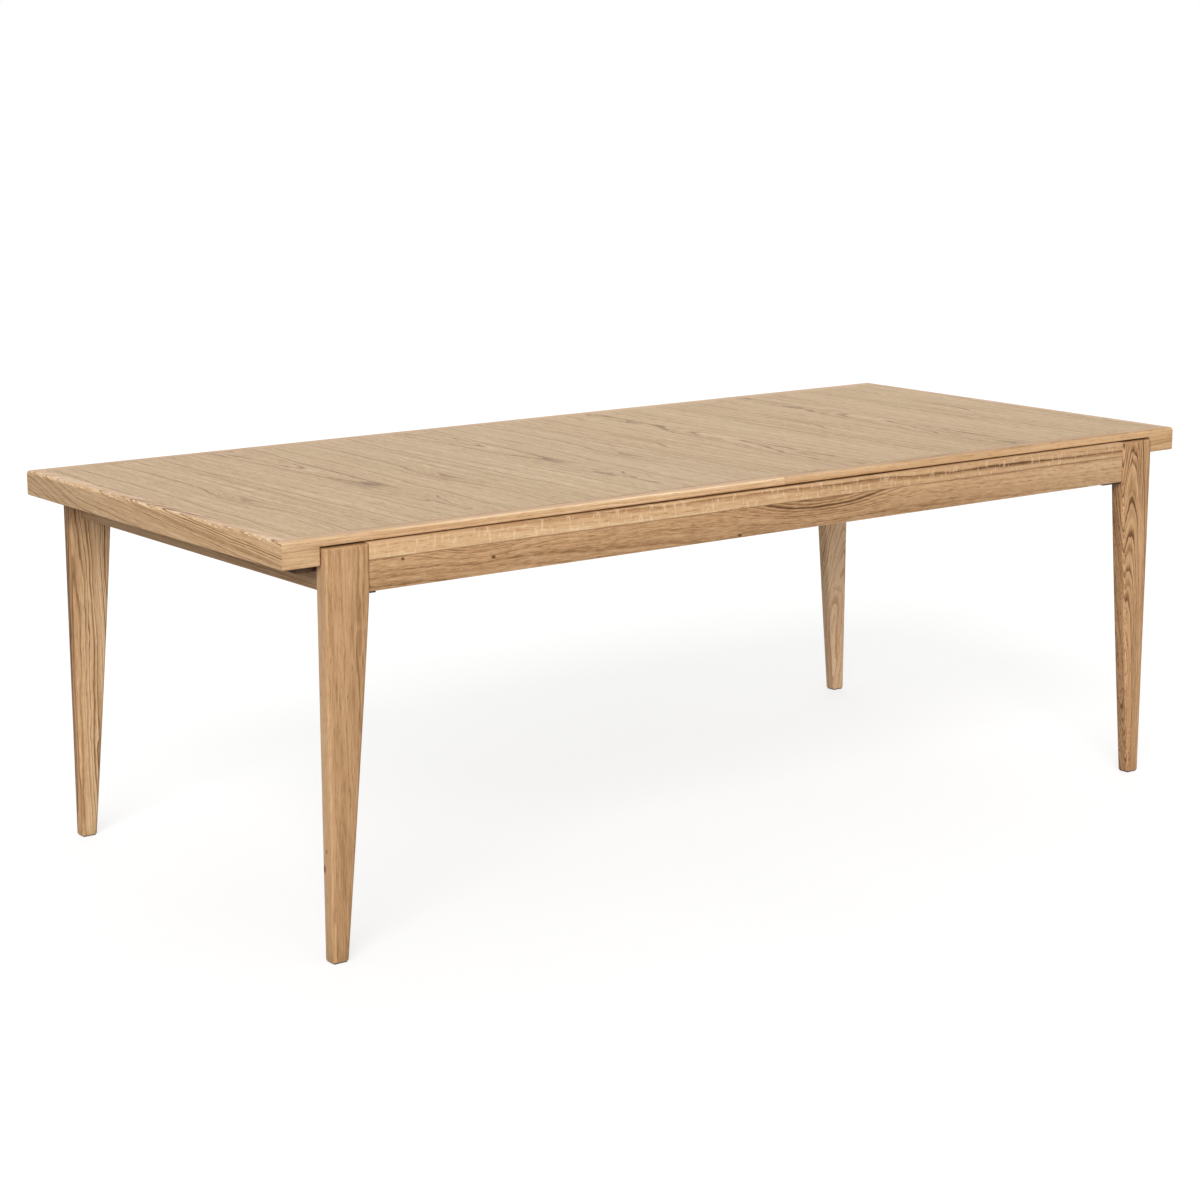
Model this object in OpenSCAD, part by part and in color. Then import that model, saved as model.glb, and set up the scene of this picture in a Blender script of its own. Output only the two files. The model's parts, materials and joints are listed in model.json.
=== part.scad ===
// Extendable dining table in solid oak with a veneered top in two halves.
// Each half draws out along X on wooden runners. Two loose leaves lie stored in the frame.
// Origin: on the floor under the middle of the table. X along the length, Y across, Z up.

/* [Table] */
// Length of the closed table
table_l = 2200; // [2160:10:2400]
// Width of the top
table_w = 950; // [930:10:1000]
// Height of the top surface above the floor
table_h = 745; // [720:5:770]
// How far each half of the top draws out
slide_travel = 500; // [300:10:500]

/* [Top] */
// Thickness of the panels and of the lip above the aprons
lip_t = 15; // [14:1:18]
// Height of the edge outside the legs
edge_t = 48; // [44:1:54]
// Width of the solid lipping along the long sides
side_lipping_w = 30; // [28:1:34]
// Width of the solid lipping at the ends
end_lipping_w = 26; // [22:1:30]
// Radius of the rounded arris round the top
arris_r = 6; // [3:1:8]
// Gap between the two halves where they meet
seam_gap = 0.5; // [0.4:0.1:1]

/* [Legs] */
// How far the top overhangs the legs at each end
end_overhang = 77; // [75:1:90]
// How far the legs stand out from the long edges of the top
leg_proud = 10; // [8:1:12]
// Width of a leg at the apron, along the table
leg_w = 88; // [84:1:96]
// Width of a leg at the floor
foot_w = 32; // [28:1:40]
// Thickness of a leg at the apron, across the table
leg_t = 32; // [31:1:36]
// Thickness of a leg at the floor
foot_t = 29; // [26:1:31]
// Thickness of the glide under each leg
glide_t = 2; // [2:0.5:3]

/* [Aprons] */
// Height of the aprons
apron_h = 84; // [82:1:90]
// Thickness of the long aprons
apron_t = 26; // [24:1:27]
// Thickness of the end aprons
end_apron_t = 22; // [20:1:24]
// Gap between the aprons and the top above them
apron_gap = 2.5; // [2:0.5:3]

/* [Slides] */
// Thickness of a runner under the top
runner_t = 30; // [28:1:32]
// Height of a runner
runner_h = 50; // [48:1:52]
// Height of the tongue on the guides
tongue_h = 10; // [8:1:12]
// Free play round a runner in its guide
slide_play = 0.6; // [0.4:0.1:0.8]

/* [Leaves] */
// Width of a loose leaf
leaf_w = 500; // [400:10:500]

/* [Hardware] */
// Radius of the wooden alignment dowels
dowel_r = 4; // [3.5:0.5:4.5]
// Radius of the leg bolts
bolt_r = 4; // [3:0.5:4]
// Thickness of the corner plates
plate_t = 2.5; // [2:0.5:3]

/* [Hidden] */
$fn = 32;
eps = 0.01;
oak = "burlywood";
oak_dark = "tan";
oak_light = "wheat";
beech = "navajowhite";
black_steel = "#2b2b2d";
zinc = "silver";
felt = "dimgray";

// Levels
lip_z = table_h - lip_t;
edge_z = table_h - edge_t;
apron_top = lip_z - apron_gap;
apron_z = apron_top - apron_h;

// Ends and sides of the top
half_l = table_l / 2;
half_w = table_w / 2;
panel_y = half_w - side_lipping_w;
panel_x = half_l - end_lipping_w;
seam_x = seam_gap / 2;

// Legs
leg_x = half_l - end_overhang;
leg_y = half_w + leg_proud;
leg_gap = 4;
leg_top = apron_top - 1.5;
edge_x = leg_x + leg_gap;
leg_in_x = leg_x - leg_w;
leg_in_y = leg_y - leg_t;
glide_inset = 3;
nail_r = 1.5;
nail_l = 18;
// Share of the taper that is done at each share of the way down from the apron
taper = [[0, 0], [0.12, 0.1], [0.25, 0.225], [0.5, 0.475], [0.75, 0.735], [1, 1]];

// Frame
apron_y = leg_y - 2;
apron_in_y = apron_y - apron_t;
end_apron_x = leg_x - 23;
end_apron_in_x = end_apron_x - end_apron_t;
tenon_t = 10;
tenon_l = 42;
tenon_z = apron_z + 23;
tenon_top = apron_top - 12;
end_tenon_l = 18;

// Guides and runners
guide_t = 20;
guide_z = apron_z + 28.5;
guide_top = apron_top - 9.5;
tongue_w = 9;
tongue_z = lip_z - 41;
guide_in_y = apron_in_y - guide_t;
guide_screw_x = [-850, -510, -170, 170, 510, 850];
guide_screw_z = guide_top - 9;
guide_screw_r = 2.2;
runner_y = guide_in_y - 1;
runner_in_y = runner_y - runner_t;
runner_z = lip_z - runner_h;
runner_end_x = 60;
runner_screw_x = [1015, 770, 525, 280, 100];
runner_screw_y = runner_in_y + 8;
runner_bore_h = 18;
groove_w = tongue_w + 1;
notch_play = 3;
stop_l = 26;
stop_w = 11;
stop_z = runner_z + 8;
stop_h = 20;
stop_x = end_apron_in_x - slide_travel - 0.5;

// Rails and battens under the top
end_rail_x = panel_x - 24;
end_rail_z = edge_z + 2;
batten_w = 40;
batten_h = 18;
seam_batten_x = 120;
middle_batten_x = 430;

// Leaves, stored a quarter turn round
bearer_x = 420;
bearer_w = 30;
bearer_z = apron_z + 2;
bearer_top = guide_z - 0.5;
fence_l = bearer_w - 4;
fence_t = 15;
fence_h = 24;
fence_gap = 3;
pad_t = 3;
leaf_play = 1.5;
lower_leaf_z = bearer_top + pad_t;
upper_leaf_z = lower_leaf_z + lip_t + leaf_play;
leaf_panel_x = half_w - side_lipping_w;
dowel_places = [-380, -120, 120, 380];
dowel_in = 15;
dowel_out = 12;

// Corner fittings
block_h = guide_z - apron_z - 1;
block_arm = 105;
block_nose = 14;
bolt_z = apron_z + block_h / 2 + 0.5;
bolt_l = 84;
bolt_in = 24;
// Sideways shift of the bolt, away from the end of the long apron
bolt_shift = 1.5;
washer_r = 9;
washer_t = 1.6;
nut_r = 7.5;
nut_t = 6.5;
// From the corner of the leg, along the bolt, to the slanting face of the block
nut_out = (leg_in_x + leg_in_y - end_apron_in_x - apron_in_y + block_arm + block_nose) / sqrt(2);
plate_z = apron_z - plate_t;
plate_w = 22;
short_arm = 12;
long_arm = 56;
plate_screw_r = 1.6;
plate_screw_l = 12;

// Latches under the seam
latch_y = 330;
latch_x = -45;
keeper_x = 25;
keeper_r = 3.5;
pivot_r = 4;
pivot_play = 0.1;
latch_t = 3;
latch_play = 0.3;
latch_plate_t = 2;
latch_z = lip_z - latch_plate_t - latch_play - latch_t;
latch_w = 18;
latch_tip = 12;
hook_r = 4.3;
latch_head_t = 2;
latch_head_r = 7;
latch_reach = keeper_x - latch_x;

// ---------- shared shapes ----------

// A block from its lowest corner to its highest corner
module block(a, b) {
    translate(a) cube(b - a);
}

// The same shape at the left or right end and at the front or back
module at_corner(right, back) {
    mirror([right ? 1 : 0, 0, 0]) mirror([0, back ? 1 : 0, 0]) children();
}

module at_front_and_back() {
    for (back = [false, true]) at_corner(false, back) children();
}

module at_all_corners() {
    for (right = [false, true]) at_corner(right, false) at_front_and_back() children();
}

// A section in Y and Z, drawn out along X
module along_x(x0, x1) {
    translate([x0, 0, 0]) rotate([90, 0, 90]) linear_extrude(x1 - x0) children();
}

// A section in X and Z, drawn out along Y
module along_y(y0, y1) {
    translate([0, y1, 0]) rotate([90, 0, 0]) linear_extrude(y1 - y0) children();
}

// Edge section of the top: an upright rectangle with its outer top arris rounded
module edge_section(outer, inner, bottom) {
    difference() {
        translate([outer, bottom]) square([inner - outer, table_h - bottom]);
        translate([outer, table_h]) difference() {
            translate([-1, -arris_r]) square([arris_r + 1, arris_r + 1]);
            translate([arris_r, -arris_r]) circle(arris_r);
        }
    }
}

// Countersunk screw with its head down, pointing up from z
module screw(r, l) {
    cylinder(h = r, r1 = 2 * r, r2 = r);
    translate([0, 0, r]) cylinder(h = l - r, r = r);
}

module screw_hole(r, l) {
    translate([0, 0, -eps]) cylinder(h = r + eps, r1 = 2 * r + 0.2, r2 = r + 0.1);
    cylinder(h = l + 1, r = r + 0.1);
}

// ---------- legs ----------

// Width or thickness at each level, from the apron down to the glide
function leg_outline(outer, full, foot) = [
    [-outer, leg_top], [-outer + full, leg_top],
    for (p = taper) [-outer + full - (full - foot) * p[1], apron_z - (apron_z - glide_t) * p[0]],
    [-outer, glide_t]
];

// Front left leg: its two outer faces are upright and its two inner faces taper
module leg() {
    color(oak) difference() {
        intersection() {
            along_y(-leg_y, -leg_in_y) polygon(leg_outline(leg_x, leg_w, foot_w));
            along_x(-leg_x, -leg_in_x) polygon([
                [-leg_y, leg_top], [-leg_in_y, leg_top], [-leg_in_y, apron_z],
                [-leg_y + foot_t, glide_t], [-leg_y, glide_t]]);
        }
        long_tenon();
        end_tenon();
        corner_bolt_path() cylinder(h = bolt_in + 2, r = bolt_r + 0.1);
        translate([-leg_x + foot_w / 2, -leg_y + foot_t / 2, 0]) cylinder(h = nail_l + 2, r = nail_r + 0.1);
    }
}

module long_tenon() {
    y = -(apron_y + apron_in_y) / 2;
    block([-leg_in_x - tenon_l, y - tenon_t / 2, tenon_z], [-leg_in_x + 1, y + tenon_t / 2, tenon_top]);
}

module end_tenon() {
    x = -(end_apron_x + end_apron_in_x) / 2;
    block([x - tenon_t / 2, -leg_in_y - end_tenon_l, tenon_z], [x + tenon_t / 2, -leg_in_y + 1, tenon_top]);
}

// Felt glide with its nail
module glide() {
    color(felt) translate([-leg_x + foot_w / 2, -leg_y + foot_t / 2, 0]) {
        translate([glide_inset - foot_w / 2, glide_inset - foot_t / 2, 0])
            cube([foot_w - 2 * glide_inset, foot_t - 2 * glide_inset, glide_t]);
        cylinder(h = nail_l, r = nail_r);
    }
}

// ---------- frame ----------

module long_apron() {
    color(oak_light) {
        block([-leg_in_x, -apron_y, apron_z], [leg_in_x, -apron_in_y, apron_top]);
        for (right = [false, true]) at_corner(right, false) long_tenon();
    }
}

// Left end apron, notched for the two runners
module end_apron() {
    color(oak_dark) difference() {
        union() {
            block([-end_apron_x, -leg_in_y, apron_z], [-end_apron_in_x, leg_in_y, apron_top - 1.5]);
            for (back = [false, true]) at_corner(false, back) end_tenon();
        }
        for (back = [false, true]) at_corner(false, back)
            block([-end_apron_x - 1, -runner_y - notch_play, runner_z - notch_play],
                  [-end_apron_in_x + 1, -runner_in_y + notch_play, apron_top + 1]);
    }
}

// Front guide: a rail on the apron with a tongue that runs in the runners' groove
module guide() {
    color(beech) difference() {
        union() {
            block([-leg_in_x + 1, -apron_in_y, guide_z], [leg_in_x - 1, -guide_in_y, guide_top]);
            block([-leg_in_x + 1, -guide_in_y - eps, tongue_z],
                  [leg_in_x - 1, -guide_in_y + tongue_w, tongue_z + tongue_h]);
        }
        at_guide_screws() screw_hole(guide_screw_r, guide_t);
    }
}

module at_guide_screws() {
    for (x = guide_screw_x) translate([x, -guide_in_y, guide_screw_z]) rotate([90, 0, 0]) children();
}

module guide_screws() {
    color(zinc) at_front_and_back() at_guide_screws() screw(guide_screw_r, guide_t);
}

// Cross rail that carries the stored leaves
module bearer(x) {
    color(beech)
        block([x - bearer_w / 2, -apron_in_y, bearer_z], [x + bearer_w / 2, apron_in_y, bearer_top]);
}

// Blocks beside the stored leaves, so that they don't shift
module leaf_fences() {
    y0 = leaf_w / 2 + fence_gap;
    color(beech) for (x = [-bearer_x, bearer_x], y = [-y0 - fence_t, y0])
        block([x - fence_l / 2, y, bearer_top], [x + fence_l / 2, y + fence_t, bearer_top + fence_h]);
}

// Felt strips under the lower leaf, and felt dots between the leaves
module leaf_pads() {
    color(felt) {
        for (x = [-bearer_x, 0, bearer_x])
            block([x - 10, -200, bearer_top], [x + 10, 200, lower_leaf_z]);
        for (x = [-bearer_x, bearer_x], y = [-180, 180])
            translate([x, y, lower_leaf_z + lip_t]) cylinder(h = leaf_play, r = 9);
    }
}

// ---------- corner fittings ----------

// From the inner corner of the front left leg, pointing into the leg
module corner_bolt_path() {
    translate([-leg_in_x - bolt_shift, -leg_in_y + bolt_shift, bolt_z])
        rotate([0, 0, 45]) rotate([0, -90, 0]) children();
}

// Block glued into the corner, with a slanting face for the washer and nut
module corner_block() {
    x = -end_apron_in_x;
    y = -apron_in_y;
    color(beech) difference() {
        translate([0, 0, apron_z]) linear_extrude(block_h) polygon([
            [x, -leg_in_y], [-leg_in_x, -leg_in_y], [-leg_in_x, y],
            [x + block_arm, y], [x + block_arm, y + block_nose],
            [x + block_nose, y + block_arm], [x, y + block_arm]]);
        corner_bolt_path() translate([0, 0, -bolt_l]) cylinder(h = bolt_l + 5, r = bolt_r + 0.2);
    }
}

module leg_bolt() {
    color(zinc) corner_bolt_path() translate([0, 0, bolt_in - bolt_l]) cylinder(h = bolt_l, r = bolt_r);
}

module bolt_washer() {
    color(zinc) corner_bolt_path() translate([0, 0, -nut_out - washer_t]) difference() {
        cylinder(h = washer_t, r = washer_r);
        translate([0, 0, -1]) cylinder(h = washer_t + 2, r = bolt_r + 0.2);
    }
}

module bolt_nut() {
    color(zinc) corner_bolt_path() translate([0, 0, -nut_out - washer_t - nut_t]) difference() {
        cylinder(h = nut_t, r = nut_r, $fn = 6);
        translate([0, 0, -1]) cylinder(h = nut_t + 2, r = bolt_r + 0.05);
    }
}

function plate_screw_places(arm_x, arm_y) = [
    [-end_apron_in_x + 10, -leg_in_y + plate_w / 2],
    [-leg_in_x - 14, -leg_in_y + plate_w / 2],
    arm_y > arm_x ? [-end_apron_in_x + 10, -leg_in_y + arm_y - 12]
        : [-leg_in_x + arm_x - 12, -leg_in_y + plate_w / 2]
];

// Steel plate round the inner corner of a leg, under the aprons
module corner_plate(arm_x, arm_y) {
    x = -end_apron_in_x + 1;
    y = -leg_in_y + plate_w;
    color(black_steel) difference() {
        union() {
            block([-leg_in_x, -apron_y + 0.5, plate_z], [-leg_in_x + arm_x, y, apron_z]);
            block([x, -leg_in_y, plate_z], [-leg_in_x + arm_x, y, apron_z]);
            block([x, -leg_in_y, plate_z], [x + plate_w, -leg_in_y + max(arm_y, plate_w), apron_z]);
        }
        for (p = plate_screw_places(arm_x, arm_y))
            translate([p[0], p[1], plate_z]) screw_hole(plate_screw_r, plate_screw_l);
    }
}

module plate_screws(arm_x, arm_y) {
    color(zinc) for (p = plate_screw_places(arm_x, arm_y))
        translate([p[0], p[1], plate_z]) screw(plate_screw_r, plate_screw_l);
}

// The plates at opposite corners are alike, turned half round
module corner_plates() {
    for (turned = [0, 180]) rotate([0, 0, turned]) {
        corner_plate(short_arm, long_arm);
        at_corner(true, false) corner_plate(long_arm, short_arm);
    }
}

module all_plate_screws() {
    for (turned = [0, 180]) rotate([0, 0, turned]) {
        plate_screws(short_arm, long_arm);
        at_corner(true, false) plate_screws(long_arm, short_arm);
    }
}

// ---------- loose leaves, a quarter turn round ----------

module leaf_dowel_places(z) {
    for (x = dowel_places) translate([x, 0, z + lip_t / 2]) rotate([-90, 0, 0]) children();
}

module leaf_panel(z) {
    color(oak) difference() {
        block([-leaf_panel_x, -leaf_w / 2, z], [leaf_panel_x, leaf_w / 2, z + lip_t]);
        leaf_dowel_places(z) translate([0, 0, -leaf_w / 2 - 1]) cylinder(h = dowel_in + 1, r = dowel_r);
        leaf_dowel_places(z) translate([0, 0, leaf_w / 2 - dowel_in])
            cylinder(h = dowel_in + 1, r = dowel_r + 0.3);
    }
}

module leaf_lippings(z) {
    color(oak_light) for (right = [false, true]) at_corner(right, false)
        block([-half_w, -leaf_w / 2, z], [-leaf_panel_x, leaf_w / 2, z + lip_t]);
}

module leaf_dowels(z) {
    color(beech) leaf_dowel_places(z) translate([0, 0, -leaf_w / 2 - dowel_out])
        cylinder(h = dowel_in + dowel_out, r = dowel_r);
}

// ---------- the two halves of the top, drawn as the left one ----------

module seam_dowel_places() {
    for (y = dowel_places) translate([-seam_x, y, lip_z + lip_t / 2]) rotate([0, 90, 0]) children();
}

module top_panel(bore_r) {
    color(oak) difference() {
        block([-panel_x, -panel_y, lip_z], [-seam_x, panel_y, table_h]);
        seam_dowel_places() translate([0, 0, -dowel_in]) cylinder(h = dowel_in + 1, r = bore_r);
    }
}

// What lies on the end lipping's side of the mitre at the front corner
module mitre() {
    slope = side_lipping_w / end_lipping_w;
    translate([0, 0, edge_z - 1]) linear_extrude(edge_t + 2) polygon([
        [-half_l - 1, -half_w - slope], [-panel_x, -panel_y], [-panel_x, 0], [-half_l - 1, 0]]);
}

module end_lipping() {
    color(oak_light) intersection() {
        along_y(-half_w, half_w) edge_section(-half_l, -panel_x, edge_z);
        union() {
            mitre();
            mirror([0, 1, 0]) mitre();
        }
    }
}

// Lipping along the front: deep at the end, and thin over the leg and the apron
module side_lipping() {
    color(oak_light) difference() {
        union() {
            along_x(-half_l, -edge_x) edge_section(-half_w, -panel_y, edge_z);
            along_x(-edge_x, -seam_x) edge_section(-half_w, -panel_y, lip_z);
        }
        mitre();
    }
}

module end_rail() {
    color(beech) block([-panel_x, -panel_y, end_rail_z], [-end_rail_x, panel_y, lip_z]);
}

module batten(x) {
    color(beech) block([-x - batten_w / 2, -runner_in_y, lip_z - batten_h],
                       [-x + batten_w / 2, runner_in_y, lip_z]);
}

module runner_screw_places() {
    for (x = runner_screw_x) translate([-x, -runner_screw_y, runner_z + runner_bore_h]) children();
}

// Front runner, grooved along its outer face for the tongue of the guide
module runner() {
    color(beech) difference() {
        block([-end_rail_x, -runner_y, runner_z], [-runner_end_x, -runner_in_y, lip_z]);
        block([-end_rail_x - 1, -runner_y - 1, tongue_z - slide_play],
              [-runner_end_x + 1, -runner_y + groove_w, tongue_z + tongue_h + slide_play]);
        runner_screw_places() {
            screw_hole(2.2, runner_h);
            translate([0, 0, -runner_bore_h - 1]) cylinder(h = runner_bore_h + 1, r = 5);
        }
    }
}

module runner_screws() {
    color(zinc) at_front_and_back() runner_screw_places() screw(2.2, runner_h - runner_bore_h + 8);
}

// Blocks on the runners that meet the end apron when the half is drawn right out
module runner_stops() {
    color(beech) at_front_and_back()
        block([-stop_x, -runner_in_y, stop_z], [-stop_x + stop_l, -runner_in_y + stop_w, stop_z + stop_h]);
}

module alignment_dowels() {
    color(beech) seam_dowel_places() translate([0, 0, -dowel_in])
        cylinder(h = dowel_in + dowel_out, r = dowel_r);
}

// ---------- latches ----------

// Plate on the underside of the top, round a pin at x on the front side
module latch_base(x) {
    color(zinc) block([x - 18, -latch_y - 16, lip_z - latch_plate_t], [x + 18, -latch_y + 16, lip_z]);
}

// Pin with a head, hanging from its plate
module headed_pin(x, r) {
    color(zinc) translate([x, -latch_y, latch_z - latch_play - latch_head_t]) {
        cylinder(h = latch_head_t, r = latch_head_r);
        cylinder(h = lip_z - latch_plate_t - latch_z + latch_play + latch_head_t, r = r);
    }
}

// Front latch, parked along the seam; its hook opens towards the keeper
module latch() {
    color(zinc) translate([latch_x, -latch_y, latch_z]) rotate([0, 0, 90]) difference() {
        union() {
            cylinder(h = latch_t, r = latch_w / 2);
            block([0, -latch_w / 2, 0], [latch_reach + latch_tip, latch_w / 2, latch_t]);
            translate([latch_reach / 2, 0, -8]) cylinder(h = 8 + eps, r = 5);
        }
        translate([0, 0, -1]) cylinder(h = latch_t + 2, r = pivot_r + pivot_play);
        translate([latch_reach, 0, -1]) cylinder(h = latch_t + 2, r = hook_r);
        block([latch_reach - hook_r, -latch_w, -1], [latch_reach + hook_r, 0, latch_t + 1]);
    }
}

// ---------- what is drawn ----------

at_corner(false, false) leg();  // leg_front_left
at_corner(true, false) leg();  // leg_front_right
at_corner(false, true) leg();  // leg_back_left
at_corner(true, true) leg();  // leg_back_right
at_all_corners() glide();  // glides
long_apron();  // front_apron
at_corner(false, true) long_apron();  // back_apron
end_apron();  // left_end_apron
at_corner(true, false) end_apron();  // right_end_apron
guide();  // front_guide
at_corner(false, true) guide();  // back_guide
guide_screws();
bearer(-bearer_x);  // left_bearer
bearer(0);  // centre_bearer
bearer(bearer_x);  // right_bearer
leaf_fences();
leaf_pads();
at_all_corners() corner_block();  // corner_blocks
corner_plates();
all_plate_screws();  // plate_screws
at_all_corners() leg_bolt();  // leg_bolts
at_all_corners() bolt_washer();  // bolt_washers
at_all_corners() bolt_nut();  // bolt_nuts
leaf_panel(lower_leaf_z);  // lower_leaf_panel
leaf_lippings(lower_leaf_z);  // lower_leaf_lippings
leaf_dowels(lower_leaf_z);  // lower_leaf_dowels
leaf_panel(upper_leaf_z);  // upper_leaf_panel
leaf_lippings(upper_leaf_z);  // upper_leaf_lippings
leaf_dowels(upper_leaf_z);  // upper_leaf_dowels
top_panel(dowel_r);  // left_panel
end_lipping();  // left_end_lipping
side_lipping();  // left_front_lipping
at_corner(false, true) side_lipping();  // left_back_lipping
end_rail();  // left_end_rail
batten(seam_batten_x);  // left_seam_batten
batten(middle_batten_x);  // left_middle_batten
runner();  // left_front_runner
at_corner(false, true) runner();  // left_back_runner
runner_screws();  // left_runner_screws
runner_stops();  // left_runner_stops
at_corner(true, false) top_panel(dowel_r + 0.3);  // right_panel
at_corner(true, false) end_lipping();  // right_end_lipping
at_corner(true, false) side_lipping();  // right_front_lipping
at_corner(true, true) side_lipping();  // right_back_lipping
at_corner(true, false) end_rail();  // right_end_rail
at_corner(true, false) batten(seam_batten_x);  // right_seam_batten
at_corner(true, false) batten(middle_batten_x);  // right_middle_batten
at_corner(true, false) runner();  // right_front_runner
at_corner(true, true) runner();  // right_back_runner
at_corner(true, false) runner_screws();  // right_runner_screws
at_corner(true, false) runner_stops();  // right_runner_stops
alignment_dowels();
at_front_and_back() latch_base(latch_x);  // latch_plates
at_front_and_back() headed_pin(latch_x, pivot_r);  // latch_pivots
at_front_and_back() latch_base(keeper_x);  // keeper_plates
at_front_and_back() headed_pin(keeper_x, keeper_r);  // keeper_pins
latch();  // front_latch
at_corner(false, true) latch();  // back_latch
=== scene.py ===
import json
import math

import bpy
from mathutils import Euler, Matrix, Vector


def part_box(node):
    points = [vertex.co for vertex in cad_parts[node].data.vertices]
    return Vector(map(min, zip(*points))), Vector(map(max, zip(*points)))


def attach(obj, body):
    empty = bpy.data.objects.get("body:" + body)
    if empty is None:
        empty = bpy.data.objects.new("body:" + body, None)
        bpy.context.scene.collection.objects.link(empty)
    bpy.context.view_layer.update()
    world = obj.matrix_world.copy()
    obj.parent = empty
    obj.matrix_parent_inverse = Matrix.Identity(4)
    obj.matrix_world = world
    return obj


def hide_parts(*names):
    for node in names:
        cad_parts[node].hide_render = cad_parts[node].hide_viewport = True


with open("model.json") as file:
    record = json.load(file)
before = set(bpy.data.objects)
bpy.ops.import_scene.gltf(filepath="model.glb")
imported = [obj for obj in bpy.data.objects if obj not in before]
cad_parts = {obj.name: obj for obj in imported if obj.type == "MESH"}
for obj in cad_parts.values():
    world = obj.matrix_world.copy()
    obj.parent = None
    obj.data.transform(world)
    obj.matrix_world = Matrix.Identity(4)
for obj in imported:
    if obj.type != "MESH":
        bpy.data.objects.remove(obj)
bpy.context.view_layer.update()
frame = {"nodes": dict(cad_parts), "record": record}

mm = 0.001
print("loaded", len(frame["nodes"]), "nodes")


# camera, at eye height in front of the left end

cameraView = {"place": (-3.292, -4.199, 1.553), "heading": 37.44, "down": 11.90, "lens": 79.7}

bpy.ops.object.camera_add(
    location=cameraView["place"],
    rotation=(math.radians(90 - cameraView["down"]), 0, math.radians(-cameraView["heading"])))
camera = bpy.context.object
camera.data.lens = cameraView["lens"]
camera.data.sensor_width = 36
camera.data.clip_end = 60
bpy.context.scene.camera = camera


# selecting and finishing pieces

def selectOnly(piece):
    bpy.ops.object.select_all(action="DESELECT")
    piece.hide_viewport = False
    piece.select_set(True)
    bpy.context.view_layer.objects.active = piece


def enterEdit(piece, mode="EDGE"):
    selectOnly(piece)
    bpy.ops.object.mode_set(mode="EDIT")
    bpy.ops.mesh.select_mode(type=mode)
    bpy.ops.mesh.select_all(action="DESELECT")


def pickEdges(piece, wanted):
    # selects the edges whose two ends pass the test, and leaves the piece in edit mode
    bpy.ops.mesh.select_mode(type="EDGE")
    bpy.ops.mesh.select_all(action="DESELECT")
    bpy.ops.object.mode_set(mode="OBJECT")
    mesh = piece.data
    found = 0
    for edge in mesh.edges:
        a, b = (mesh.vertices[index].co for index in edge.vertices)
        edge.select = bool(wanted(a, b))
        found += edge.select
    bpy.ops.object.mode_set(mode="EDIT")
    return found


def pickFaces(piece, wanted):
    bpy.ops.mesh.select_mode(type="FACE")
    bpy.ops.mesh.select_all(action="DESELECT")
    bpy.ops.object.mode_set(mode="OBJECT")
    for face in piece.data.polygons:
        face.select = bool(wanted(face.center, face.normal))
    bpy.ops.object.mode_set(mode="EDIT")


def leaveEdit(angle=35):
    bpy.ops.object.mode_set(mode="OBJECT")
    bpy.ops.object.shade_smooth_by_angle(angle=math.radians(angle))


def applyPlace(piece):
    selectOnly(piece)
    bpy.ops.object.transform_apply(location=True, rotation=True, scale=True)


def bodyOf(nodeName):
    for body, members in frame["record"]["behaviour"]["bodies"].items():
        if nodeName in members:
            return body
    raise KeyError(nodeName)


def settle(piece, nodeName, material):
    # the piece takes the node's place on its body
    piece.data.materials.clear()
    piece.data.materials.append(material)
    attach(piece, bodyOf(nodeName))
    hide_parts(nodeName)
    return piece


# materials

def linear(code):
    # sRGB hex to linear colour
    values = [int(code[i:i + 2], 16) / 255 for i in (1, 3, 5)]
    return tuple(v / 12.92 if v <= 0.04045 else ((v + 0.055) / 1.055) ** 2.4 for v in values) + (1.0,)


def addNode(tree, kind, settings=None, values=None, links=None):
    # one node, with its settings, its input values and what feeds it
    made = tree.nodes.new(kind)
    for name, value in (settings or {}).items():
        setattr(made, name, value)
    for name, value in (values or {}).items():
        made.inputs[name].default_value = value
    for name, source in (links or {}).items():
        tree.links.new(source, made.inputs[name])
    return made


def setRamp(node, stops):
    ramp = node.color_ramp
    while len(ramp.elements) > 2:
        ramp.elements.remove(ramp.elements[-1])
    for i, (place, colour) in enumerate(stops):
        stop = ramp.elements[i] if i < 2 else ramp.elements.new(place)
        stop.position = place
        stop.color = linear(colour) if isinstance(colour, str) else (colour, colour, colour, 1)
    return node


# how a piece of oak is drawn where its own look doesn't say otherwise. level is the mean tone, 0 dark to 1
# pale; lines is how dark the spring wood is; sparse is the share of years in which it hardly shows; bands,
# clouds, streaks, fibres, pores and flecks are strengths; wander and ripple are how far the rings stray, in
# mm; band is a width in mm; a size is in mm across, across and along the grain. A look adds the width of a
# ring, the way the grain runs and a point on the pith, the middle of the log.
oakDefaults = {
    "tint": "solid", "level": 0.62, "seed": 0.0, "lean": (0, 0, 0), "swirls": [],
    "lines": 0.30, "sparse": 0.25, "bands": 0.7, "band": 16,
    "wander": 14, "bend": (90, 90, 420), "ripple": 3.0, "rippleSize": (14, 14, 90),
    "clouds": 0.5, "cloudSize": (46, 46, 900), "streaks": 0.5, "streakSize": (9, 9, 330),
    "fibres": 0.5, "fibreSize": (3.2, 3.2, 62),
    "pores": 0.8, "poreSize": (1.3, 1.3, 20), "poreColour": "#b08a63",
    "flecks": 0.0, "raySize": (9, 9, 3.2), "fleckColour": "#e7cfae", "roughness": 0.56,
}
grainTurn = {"X": (0, 90, 0), "Y": (-90, 0, 0), "Z": (0, 0, 0)}


def logTurn(look):
    # how the log lies: along the grain, leaning a little
    return [math.radians(a + b) for a, b in zip(grainTurn[look["grain"]], look["lean"])]


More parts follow.
